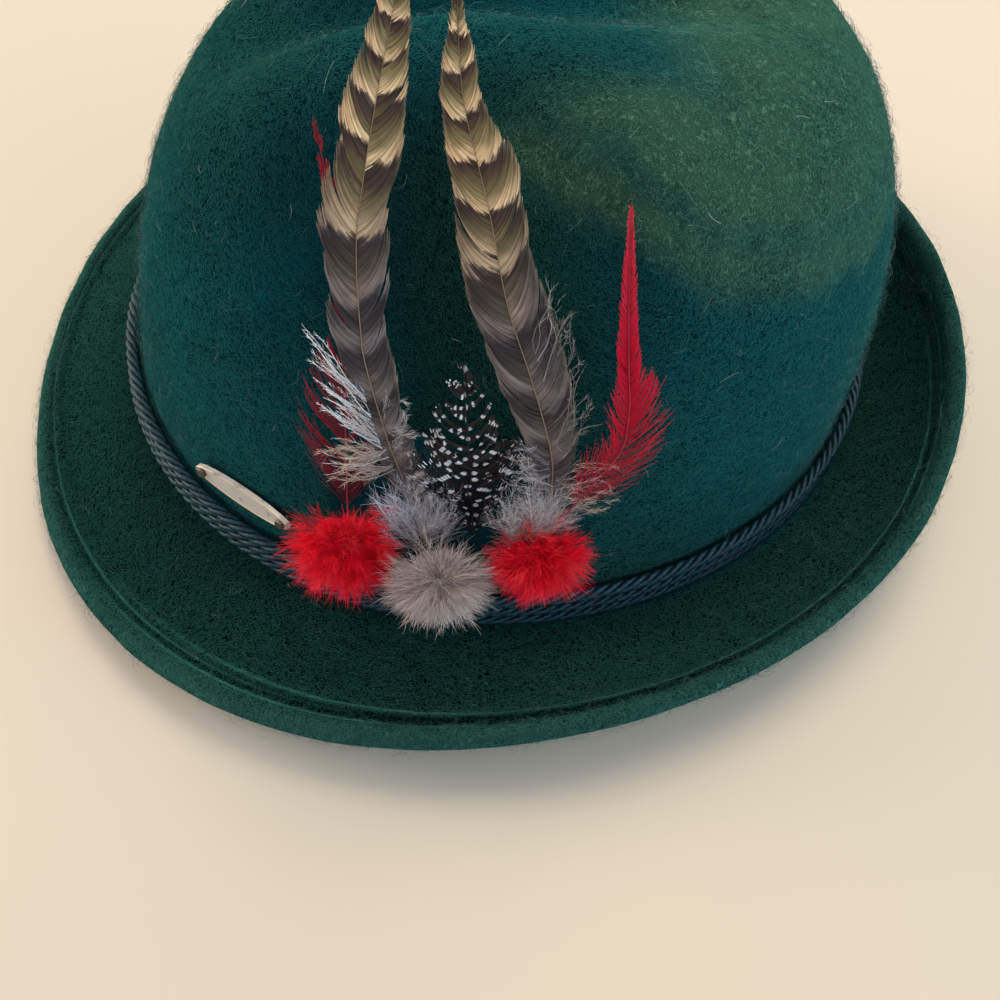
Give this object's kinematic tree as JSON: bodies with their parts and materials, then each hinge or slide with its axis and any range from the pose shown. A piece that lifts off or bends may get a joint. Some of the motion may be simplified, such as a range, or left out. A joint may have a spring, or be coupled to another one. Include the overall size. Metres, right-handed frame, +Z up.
{
  "type": "tyrolean hat",
  "caption": "Green wool-felt hat with creased crown, narrow turned-up brim, twisted cord band, slim oval badge plate and a plume of barred, red and spotted feathers with pompoms.",
  "frame": {"origin": "on the surface the hat stands on, under the middle of its outline", "axes": "-Y is the front of the hat, +X the wearer's left with the plume, +Z up"},
  "size_m": [0.247, 0.2546, 0.1493],
  "materials": {
    "wool_felt": "deep green wool felt, matt and hairy",
    "cord": "dark green twisted cord, slightly shiny",
    "badge_metal": "bare silver plate with a raised rim",
    "pin_metal": "dark metal",
    "backing_felt": "dark green felt",
    "barred_feather": "feather, tan and dark brown bars",
    "red_feather": "dyed red feather",
    "spotted_feather": "black feather with white spots",
    "grey_fluff": "taupe grey fluff",
    "pale_down": "pale down"
  },
  "bodies": {
    "root": {"felt_body": "wool_felt", "cord_lower": "cord", "cord_middle": "cord", "cord_upper": "cord", "badge_plate": "badge_metal", "badge_pin_front": "pin_metal", "badge_pin_rear": "pin_metal", "plume_backing": "backing_felt", "barred_feather_front": "barred_feather", "barred_feather_rear": "barred_feather", "red_hackle_front": "red_feather", "red_hackle_rear": "red_feather", "guinea_feather": "spotted_feather", "pompom_red_front": "red_feather", "pompom_grey": "grey_fluff", "pompom_red_rear": "red_feather", "down_front": "pale_down", "down_rear": "pale_down"}
  },
  "joints": []
}
